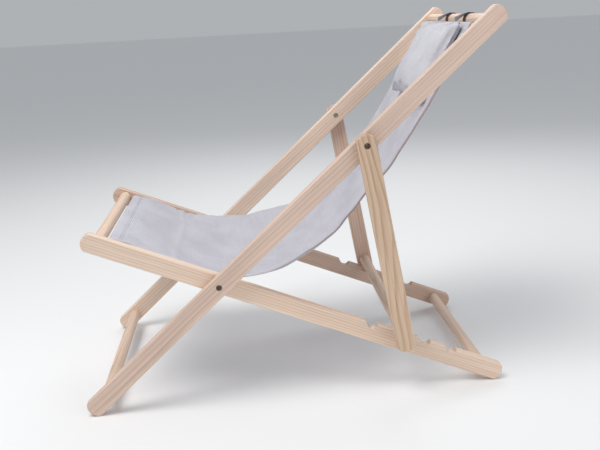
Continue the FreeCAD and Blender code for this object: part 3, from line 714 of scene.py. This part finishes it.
def build_sling():
    """The cloth as one closed sheet, thicker along its side hems."""
    places = across_stations()
    rows = [cloth_row(run) for run in along_stations()]
    wide, long = len(places), len(rows)
    verts, uvs = [], []
    for face_side in (1, -1):
        for row in rows:
            for y in places:
                in_hem = abs(y) > SLING_HALF - HEM - 1e-6
                thick = CLOTH_HALF + (HEM_EXTRA if in_hem else 0.0)
                verts.append(cloth_point(row, y, face_side * thick))
                uvs.append((y, row[0]))

    def at(back, row, column):
        return back * wide * long + row * wide + column

    faces = []
    for row in range(long - 1):
        for column in range(wide - 1):
            corners = [(row, column), (row, column + 1), (row + 1, column + 1), (row + 1, column)]
            faces.append([at(0, *c) for c in corners])
            faces.append([at(1, *c) for c in reversed(corners)])
    for row in range(long - 1):
        faces.append([at(0, row, 0), at(0, row + 1, 0), at(1, row + 1, 0), at(1, row, 0)])
        last = wide - 1
        faces.append([at(0, row + 1, last), at(0, row, last), at(1, row, last), at(1, row + 1, last)])
    for column in range(wide - 1):
        faces.append([at(0, 0, column + 1), at(0, 0, column), at(1, 0, column), at(1, 0, column + 1)])
        last = long - 1
        faces.append([at(0, last, column), at(0, last, column + 1),
                      at(1, last, column + 1), at(1, last, column)])
    return make_object("sling", verts, faces, sling_cloth, uvs)


THREAD_RADIUS = 0.00042
STITCH_LENGTH = 0.0030
STITCH_PITCH = 0.0042
# Rings of a stitch: the place along it and the share of the full radius
STITCH_RINGS = ((-0.30, 0.8), (0.0, 1.0), (0.30, 0.8))
STITCH_PROUD = 0.00018
# On the sleeve's lower face the stitches lie under both layers of cloth
SLEEVE_UNDER = 0.0022
CROSS_SEAM_POINTS, SIDE_SEAM_POINTS = 104, 240
STITCH_ENDS = 0.004
SIDE_SEAM_ENDS = 0.024
SIDE_SEAM_INSET = 0.0012


def stitch_row(spots, verts, faces):
    """Add one small raised thread per spot: (middle, direction, outward)."""
    sides = 6
    for middle, along, outward in spots:
        sideways = along.cross(outward).normalized()
        base = len(verts)
        verts.append(middle - along * STITCH_LENGTH / 2)
        for station, swell in STITCH_RINGS:
            for n in range(sides):
                turn = 2 * math.pi * n / sides
                ring = sideways * math.cos(turn) + outward * math.sin(turn)
                verts.append(middle + along * STITCH_LENGTH * station + ring * THREAD_RADIUS * swell)
        verts.append(middle + along * STITCH_LENGTH / 2)
        tip = base + 1 + 3 * sides
        for n in range(sides):
            after = (n + 1) % sides
            faces.append([base, base + 1 + after, base + 1 + n])
            for ring_number in range(2):
                low = base + 1 + ring_number * sides
                faces.append([low + n, low + after, low + sides + after, low + sides + n])
            faces.append([base + 1 + 2 * sides + n, base + 1 + 2 * sides + after, tip])


def seam_spots(path, lift_path):
    """Evenly spaced stitch spots along a path. lift_path is the same path a little higher."""
    spots = []
    lows = even(path, STITCH_PITCH)
    highs = even(lift_path, STITCH_PITCH)
    count = min(len(lows), len(highs))
    for n in range(1, count - 1):
        along = (lows[n + 1] - lows[n - 1]).normalized()
        outward = (highs[n] - lows[n]).normalized()
        spots.append((highs[n], along, outward))
    return spots


def build_sling_stitches():
    """Double rows across both sleeves, on both faces, and one row along each side hem."""
    verts, faces = [], []
    proud = CLOTH_HALF + STITCH_PROUD
    ys = np.linspace(-SLING_HALF + STITCH_ENDS, SLING_HALF - STITCH_ENDS, CROSS_SEAM_POINTS)
    seams = [SPAN_START + SLEEVE_SEAM, SPAN_START + SLEEVE_SEAM + SEAM_ROWS,
             SPAN_END - SLEEVE_SEAM, SPAN_END - SLEEVE_SEAM - SEAM_ROWS]
    for run in seams:
        row = cloth_row(run)
        for face_side in (1, -1):
            under = proud + (0.0 if face_side > 0 else SLEEVE_UNDER)
            low = [cloth_point(row, y, face_side * under * 0.2) for y in ys]
            high = [cloth_point(row, y, face_side * under) for y in ys]
            stitch_row(seam_spots(low, high), verts, faces)
    runs = np.linspace(SPAN_START + SIDE_SEAM_ENDS, SPAN_END - SIDE_SEAM_ENDS, SIDE_SEAM_POINTS)
    rows = [cloth_row(run) for run in runs]
    for y in (-SLING_HALF + HEM - SIDE_SEAM_INSET, SLING_HALF - HEM + SIDE_SEAM_INSET):
        for face_side in (1, -1):
            low = [cloth_point(row, y, 0.0) for row in rows]
            high = [cloth_point(row, y, face_side * proud) for row in rows]
            stitch_row(seam_spots(low, high), verts, faces)
    return make_object("sling_stitching", verts, faces, thread)


sling = build_sling()
sling_stitches = build_sling_stitches()
for piece in (sling, sling_stitches):
    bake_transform(piece)
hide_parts("sling_seat", "sling_back")


# ---- headrest ----

PILLOW_LOW, PILLOW_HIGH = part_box("headrest_pillow")
PILLOW_Y = (PILLOW_LOW.y + PILLOW_HIGH.y) / 2
PILLOW_WIDE = PILLOW_HIGH.y - PILLOW_LOW.y
PILLOW_LONG = 0.203
# Fullness of its front before it swells, and the place of its seam above its back
PILLOW_FRONT = 0.025
PILLOW_SEAM = 0.004
BACK_LEAST = 0.001
# From the top crossbar's middle down to its top edge and forward to its back
PILLOW_DROP = 0.010
PILLOW_RISE = 0.0238
# The part of the sling's sag that the pillow's back fills
SAG_FILL = 0.8
# Allowances of the slack case inside its full size, across and along
SLACK_Y, SLACK_X = 0.004, 0.003
# How far the middle of the case's sides is drawn in, across and along
PINCH_Y, PINCH_X = 0.035, 0.030
# The case is fuller toward its lower end by this much
FULLER_LOW = 0.12
CROWN_POWER_Y, CROWN_POWER_X, CROWN_POWER = 2.3, 2.8, 0.6
EAR_RISE = 0.004
WELD = 0.0004
VOXEL, VOXEL_QUICK = 0.0045, 0.006
PRESSURE = 4.0
CLOTH_FRAMES = 20
SWELL_CAP = 0.008
CASE_CLOTH = {"quality": 6, "mass": 0.25, "tension_stiffness": 18, "compression_stiffness": 12,
              "shear_stiffness": 6, "bending_stiffness": 0.35}


def pillow_world(x, y, z):
    """From the pillow's own axes to the chair: x down from its top, y across, z to the front."""
    return pillow_frame.point(-PILLOW_DROP - x, PILLOW_RISE + z, PILLOW_Y + y)


def sling_room(x, y):
    """How far below the pillow's flat back the sling leaves room."""
    share_of_span = span_share(SPAN_END - x)
    across = 1 - min(1.0, abs(y + PILLOW_Y) / SLING_HALF) ** 2
    return sag_at(share_of_span) * across * SAG_FILL


def pillow_blank():
    """A slack pillow case: two faces that meet in a seam around its outline."""
    columns, rows = 65, 41
    verts, faces = [], []
    half_w, half_l = PILLOW_WIDE / 2 - SLACK_Y, PILLOW_LONG / 2 - SLACK_X
    for front in (True, False):
        for j in range(rows):
            for i in range(columns):
                a = -1 + 2 * i / (columns - 1)
                b = -1 + 2 * j / (rows - 1)
                y = a * half_w * (1 - PINCH_Y * (1 - b * b))
                x = PILLOW_LONG / 2 + b * half_l * (1 - PINCH_X * (1 - a * a))
                fuller = b - FULLER_LOW * (1 - b * b)
                crown = (1 - abs(a) ** CROWN_POWER_Y) * (1 - abs(fuller) ** CROWN_POWER_X)
                crown = max(0.0, crown) ** CROWN_POWER
                z = PILLOW_SEAM + EAR_RISE * abs(a) ** 4
                if front:
                    z += crown * PILLOW_FRONT
                else:
                    z -= crown * (PILLOW_SEAM - BACK_LEAST)
                    z -= crown * sling_room(x, y)
                verts.append(Vector((x, y, z)))

    def at(back, j, i):
        return back * rows * columns + j * columns + i

    for j in range(rows - 1):
        for i in range(columns - 1):
            corners = [(j, i), (j, i + 1), (j + 1, i + 1), (j + 1, i)]
            faces.append([at(0, *c) for c in corners])
            faces.append([at(1, *c) for c in reversed(corners)])
    obj = make_object("headrest_pillow_soft", verts, faces, pillow_cloth)
    face_outward(obj, WELD)
    return obj


def face_outward(obj, weld=0.0):
    """Join points closer than weld, point the faces outwards and shade them smooth."""
    mesh = bmesh.new()
    mesh.from_mesh(obj.data)
    if weld:
        bmesh.ops.remove_doubles(mesh, verts=mesh.verts, dist=weld)
    bmesh.ops.recalc_face_normals(mesh, faces=mesh.faces)
    mesh.to_mesh(obj.data)
    mesh.free()
    shade_smooth(obj.data)


def apply_modifier(obj, modifier):
    bpy.ops.object.select_all(action="DESELECT")
    obj.select_set(True)
    bpy.context.view_layer.objects.active = obj
    bpy.ops.object.modifier_apply(modifier=modifier.name)


def remesh(obj, voxel):
    """Give the case even faces."""
    modifier = obj.modifiers.new("remesh", "REMESH")
    modifier.mode = "VOXEL"
    modifier.voxel_size = voxel
    apply_modifier(obj, modifier)


def inflate(obj):
    """Swell the case with air, then hold every point within SWELL_CAP of where it began."""
    before = np.array([v.co[:] for v in obj.data.vertices])
    cloth = obj.modifiers.new("cloth", "CLOTH")
    cloth.settings.use_pressure = True
    cloth.settings.uniform_pressure_force = PRESSURE
    for key, value in CASE_CLOTH.items():
        setattr(cloth.settings, key, value)
    cloth.settings.effector_weights.gravity = 0
    cloth.collision_settings.use_self_collision = False
    cloth.point_cache.frame_start = 1
    cloth.point_cache.frame_end = CLOTH_FRAMES
    scene = bpy.context.scene
    for number in range(1, CLOTH_FRAMES + 1):
        scene.frame_set(number)
    apply_modifier(obj, cloth)
    scene.frame_set(1)
    after = np.array([v.co[:] for v in obj.data.vertices])
    move = after - before
    size = np.linalg.norm(move, axis=1)
    scale = np.minimum(1.0, SWELL_CAP / np.maximum(size, 1e-9))
    after = before + move * scale[:, None]
    obj.data.vertices.foreach_set("co", after.astype(np.float32).ravel())
    obj.data.update()


STRAP_YS = [centre("headrest_strap_" + side).y - PILLOW_Y for side in ("left", "right")]
# Creases that radiate from a strap's root or a corner: depth, reach and number
ROOT_CREASES = (0.0048, 0.045, 9)
CORNER_CREASES = (0.0042, 0.050, 7)
CORNER_X, CORNER_Y = 0.006, 0.008
# They come in over CREASE_START and stop at CREASE_END times their reach
CREASE_START, CREASE_END, CREASE_JITTER = 0.012, 2.4, 3.9
# Gathers beside the pillow's two ends, deepest this far down
END_GATHER_DOWN, END_GATHER_RUN = 0.045, 0.040
END_DIP_DEEP, END_DIP_WIDE = 0.0026, 0.0045
END_RIDGE_HIGH, END_RIDGE_WIDE = 0.0016, 0.0060
RIPPLE_DEEP, RIPPLE_REACH = 0.0017, 0.022
WAVE_DEEP = 0.0022


def pucker(x, y, z):
    """Sewn-in creases: radiating from the corners and strap roots, and along the seam."""
    half_w = PILLOW_WIDE / 2
    push = 0.0
    roots = [(0.0, strap_y, *ROOT_CREASES) for strap_y in STRAP_YS]
    corners = [(corner_x, corner_y, *CORNER_CREASES) for corner_x in (CORNER_X, PILLOW_LONG - CORNER_X)
               for corner_y in (-half_w + CORNER_Y, half_w - CORNER_Y)]
    for root_x, root_y, depth, reach, count in roots + corners:
        away = math.hypot(x - root_x, y - root_y)
        if away > reach * CREASE_END:
            continue
        turn = math.atan2(y - root_y, x - root_x + 1e-6)
        jitter = CREASE_JITTER * noise.noise(Vector((root_x * 30, root_y * 30, turn * 0.8)))
        strength = depth * math.exp(-away / reach) * min(1.0, away / CREASE_START)
        push += strength * math.cos(count * turn + jitter)
    for side_end in (-1, 1):
        inside = half_w - side_end * y
        down = bell(x - END_GATHER_DOWN, END_GATHER_RUN)
        push -= END_DIP_DEEP * bell(inside - 0.020 - 0.06 * x, END_DIP_WIDE) * down
        push += END_RIDGE_HIGH * bell(inside - 0.031 - 0.09 * x, END_RIDGE_WIDE) * down
    edge = min(x, PILLOW_LONG - x, half_w - abs(y))
    ripple = noise.noise(Vector((x * 70, y * 70, 2.0)))
    push += RIPPLE_DEEP * ripple * math.exp(-max(0.0, edge) / RIPPLE_REACH)
    return push + WAVE_DEEP * noise.noise(Vector((x * 16, y * 12, z * 9)))


# The back takes this share of the creases, and starts this far under the seam
BACK_SHARE = 0.3
BACK_UNDER = 0.004
# The least room left at the pillow's top line and at its back
TOP_CLEAR = 0.0008
BACK_CLEAR = 0.0006


def build_pillow():
    """The swollen case with its creases, laid on the sling."""
    obj = pillow_blank()
    remesh(obj, VOXEL)
    inflate(obj)
    subdivide = obj.modifiers.new("subdivide", "SUBSURF")
    subdivide.levels = 1
    apply_modifier(obj, subdivide)
    obj.data.update()
    normals = [v.normal.copy() for v in obj.data.vertices]
    for vertex, normal in zip(obj.data.vertices, normals):
        x, y, z = vertex.co
        room = sling_room(x, y)
        push = pucker(x, y, z) * (1.0 if z > PILLOW_SEAM - BACK_UNDER else BACK_SHARE)
        moved = vertex.co + normal * push
        moved.x = max(moved.x, TOP_CLEAR)
        moved.z = max(moved.z, BACK_CLEAR - room)
        vertex.co = pillow_world(*moved)
    obj.data.update()
    face_outward(obj)
    return obj


def tree_of(obj):
    """Search tree over a mesh that sits at the origin."""
    return BVHTree.FromPolygons([v.co[:] for v in obj.data.vertices],
                                [p.vertices[:] for p in obj.data.polygons])


OUTLINE_POINTS = 220
OUTLINE_CLEAR = 0.01
OUTLINE_SQUARE = 0.35
SEAM_CORD = 0.0011


def pillow_outline():
    """Points round the pillow's seam, outside the cloth, in its own axes."""
    half_w, half_l = PILLOW_WIDE / 2 + OUTLINE_CLEAR, PILLOW_LONG / 2 + OUTLINE_CLEAR
    points = []
    for n in range(OUTLINE_POINTS):
        turn = 2 * math.pi * n / OUTLINE_POINTS
        a = math.copysign(abs(math.cos(turn)) ** OUTLINE_SQUARE, math.cos(turn))
        b = math.copysign(abs(math.sin(turn)) ** OUTLINE_SQUARE, math.sin(turn))
        points.append(Vector((PILLOW_LONG / 2 + b * half_l, a * half_w, PILLOW_SEAM)))
    return points


def build_pillow_seam(pillow):
    """A thin sewn ridge round the pillow where its two faces meet."""
    tree = tree_of(pillow)
    path = []
    for point in pillow_outline():
        target = pillow_world(*point)
        middle = pillow_world(PILLOW_LONG / 2, point.y * 0.86, PILLOW_SEAM)
        hit = tree.ray_cast(target, (middle - target).normalized())
        if hit[0]:
            path.append(hit[0])
    return closed_tube("headrest_seam", path, SEAM_CORD, pillow_cloth)


def closed_tube(name, path, radius, material):
    """A round cord along a closed path of points."""
    verts, faces = [], []
    count = len(path)
    sides = 8
    for n, point in enumerate(path):
        along = (path[(n + 1) % count] - path[n - 1]).normalized()
        first = along.cross(pillow_frame.z).normalized()
        second = along.cross(first).normalized()
        for k in range(sides):
            turn = 2 * math.pi * k / sides
            verts.append(point + (first * math.cos(turn) + second * math.sin(turn)) * radius)
    for n in range(count):
        low, high = n * sides, ((n + 1) % count) * sides
        for k in range(sides):
            after = (k + 1) % sides
            faces.append([low + k, low + after, high + after, high + k])
    return make_object(name, verts, faces, material)


BAR_RADIUS = (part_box("top_crossbar")[1].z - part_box("top_crossbar")[0].z) / 2
# A strap leaves the pillow turned on edge, and lies flat this far along
STRAP_TWIST = math.radians(-42)
TWIST_REACH = 0.034
# Half widths and thicknesses of the light strap and of the dark ring under it, which is painted shadow of
# the strap on the bar
STRAP_TAPE = (0.0080, 0.0013)
SHADOW_LOOP_TAPE = (0.0095, 0.0015)
SHADOW_LOOP_ASIDE = 0.0015
# The middles of the strap and of the painted shadow ring outside the bar's face
STRAP_OUT = 0.0027
SHADOW_LOOP_OUT = 0.0013
# Where a strap is sewn on: up from the pillow's top edge and forward from its back
ROOT_UP, ROOT_FORWARD = 0.005, 0.0065
RIPPLE_LIFT = 0.00025


def ribbon(name, path, y, half_width, thick, material, twist=0.0):
    """A flat tape that follows a path in the side view, turned on edge by twist at its start."""
    verts, faces, uvs = [], [], []
    columns = 9
    run = 0.0
    for n, point in enumerate(path):
        before = path[max(0, n - 1)]
        after = path[min(len(path) - 1, n + 1)]
        along = (after - before).normalized()
        out = Vector((-along.z, 0, along.x))
        if n:
            run += (point - path[n - 1]).length
        turned = twist * max(0.0, 1 - run / TWIST_REACH) ** 0.5
        wide = ACROSS * math.cos(turned) + out * math.sin(turned)
        face = out * math.cos(turned) - ACROSS * math.sin(turned)
        for face_side in (1, -1):
            for k in range(columns):
                across = -1 + 2 * k / (columns - 1)
                round_edge = 1 - 0.75 * abs(across) ** 6
                ripple = RIPPLE_LIFT * noise.noise(Vector((across * 2, run * 120, y * 10)))
                lift = face_side * thick / 2 * round_edge + ripple
                verts.append(point + ACROSS * y + wide * across * half_width + face * lift)
                uvs.append((across * half_width, run))
    row = 2 * columns
    for n in range(len(path) - 1):
        low, high = n * row, (n + 1) * row
        for k in range(columns - 1):
            faces.append([low + k, low + k + 1, high + k + 1, high + k])
            faces.append([low + columns + k + 1, low + columns + k,
                          high + columns + k, high + columns + k + 1])
        faces.append([low, high, high + columns, low + columns])
        last = columns - 1
        faces.append([high + last, low + last, low + columns + last, high + columns + last])
    for base, turn in ((0, 1), ((len(path) - 1) * row, -1)):
        for k in range(columns - 1):
            face = [base + k, base + columns + k, base + columns + k + 1, base + k + 1]
            faces.append(face[::turn])
    return make_object(name, verts, faces, material, uvs)


def strap_paths():
    """Side view of a strap: the light leg from the pillow over the bar, and the dark inner loop of painted
    shadow on the bar.
    """
    bar = pillow_frame
    out = BAR_RADIUS + STRAP_OUT
    root = Vector((-PILLOW_DROP - ROOT_UP, PILLOW_RISE + ROOT_FORWARD))
    leave = math.atan2(root.y, root.x) - math.acos(out / root.length)
    arc = [bar.point(out * math.cos(a), out * math.sin(a))
           for a in np.linspace(leave, math.radians(-150), 40)]
    slack = (root + Vector((out * math.cos(leave), out * math.sin(leave)))) / 2
    leg = smooth_path([bar.point(*root), bar.point(slack.x + 0.0007, slack.y + 0.0004), arc[0]], 0.002)
    inner = BAR_RADIUS + SHADOW_LOOP_OUT
    dark = [bar.point(inner * math.cos(a), inner * math.sin(a))
            for a in np.linspace(math.radians(215), math.radians(-140), 56)]
    return leg[:-1] + arc, dark


pillow = build_pillow()
seam = build_pillow_seam(pillow)
light_path, shadow_loop_path = strap_paths()
soft_pieces = [pillow, seam]
for number, side in enumerate(("left", "right")):
    y = STRAP_YS[number] + PILLOW_Y
    strap = ribbon("strap_" + side, light_path, y, *STRAP_TAPE, pillow_cloth, STRAP_TWIST)
    # A dark ring round the bar beneath each strap: painted shadow of the strap on the bar
    loop = ribbon("strap_shadow_loop_" + side, shadow_loop_path, y - SHADOW_LOOP_ASIDE, *SHADOW_LOOP_TAPE, painted_strap_shadow)
    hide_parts("headrest_strap_" + side)
    soft_pieces += [strap, loop]
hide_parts("headrest_pillow")
for piece in soft_pieces:
    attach(piece, "headrest")


# ---- stage ----

FLOOR_HALF = 40
PAPER_COLOUR = (0.88, 0.885, 0.89, 1.0)
PAPER_ROUGH = 0.9
# Studio lights: name, place, target, size, watts and tint
LIGHTS = [("key", (-1.0, -0.8, 2.8), (0, 0, 0.4), (1.5, 1.5), 54, (1.0, 0.985, 0.965)),
          ("fill", (1.9, -2.2, 1.2), (0.1, 0, 0.4), (2.0, 1.6), 14, (0.96, 0.98, 1.0)),
          ("rim", (0.6, 2.2, 2.2), (0.1, 0, 0.4), (1.8, 1.2), 18, (1, 1, 1))]
WORLD_COLOUR = (0.93, 0.96, 1.0, 1.0)
WORLD_STRENGTH = 0.46
# The camera: its place, then its turn toward the back, its tilt down and its roll in degrees
CAMERA_PLACE = (-0.0796, -1.8797, 0.8050)
CAMERA_TURNS = (3.553, 14.412, -3.115)
CAMERA_LENS = 49.07
CAMERA_SENSOR = 36.0


def build_floor():
    paper = Graph("floor_paper")
    paper.shader.inputs["Base Color"].default_value = PAPER_COLOUR
    paper.shader.inputs["Roughness"].default_value = PAPER_ROUGH
    corners = [(-FLOOR_HALF, -FLOOR_HALF, 0), (FLOOR_HALF, -FLOOR_HALF, 0),
               (FLOOR_HALF, FLOOR_HALF, 0), (-FLOOR_HALF, FLOOR_HALF, 0)]
    make_object("floor", corners, [[0, 1, 2, 3]], paper.material)


def area_light(name, place, target, size, watts, tint):
    data = bpy.data.lights.new(name, "AREA")
    data.shape = "RECTANGLE"
    data.size, data.size_y = size
    data.energy = watts
    data.color = tint
    light = bpy.data.objects.new(name, data)
    light.location = place
    light.rotation_euler = (Vector(target) - Vector(place)).to_track_quat("-Z", "Y").to_euler()
    bpy.context.scene.collection.objects.link(light)


def build_lights():
    for light in LIGHTS:
        area_light(*light)
    world = bpy.data.worlds.new("studio")
    world.use_nodes = True
    background = world.node_tree.nodes["Background"]
    background.inputs["Color"].default_value = WORLD_COLOUR
    background.inputs["Strength"].default_value = WORLD_STRENGTH
    bpy.context.scene.world = world


def build_camera():
    """The viewing angle: from the chair's left, a little above, turned slightly to the back."""
    place = Vector(CAMERA_PLACE)
    turned, down, rolled = (math.radians(turn) for turn in CAMERA_TURNS)
    ahead = Vector((math.sin(turned) * math.cos(down), math.cos(turned) * math.cos(down), -math.sin(down)))
    level = Vector((math.cos(turned), -math.sin(turned), 0))
    above = level.cross(ahead)
    right = level * math.cos(rolled) + above * math.sin(rolled)
    up = above * math.cos(rolled) - level * math.sin(rolled)
    data = bpy.data.cameras.new("camera")
    data.sensor_width = CAMERA_SENSOR
    data.lens = CAMERA_LENS
    camera = bpy.data.objects.new("camera", data)
    camera.matrix_world = Matrix((
        (right.x, up.x, -ahead.x, place.x),
        (right.y, up.y, -ahead.y, place.y),
        (right.z, up.z, -ahead.z, place.z),
        (0, 0, 0, 1),
    ))
    bpy.context.scene.collection.objects.link(camera)
    bpy.context.scene.camera = camera


build_floor()
build_lights()
build_camera()
bpy.context.scene.view_settings.view_transform = "Standard"
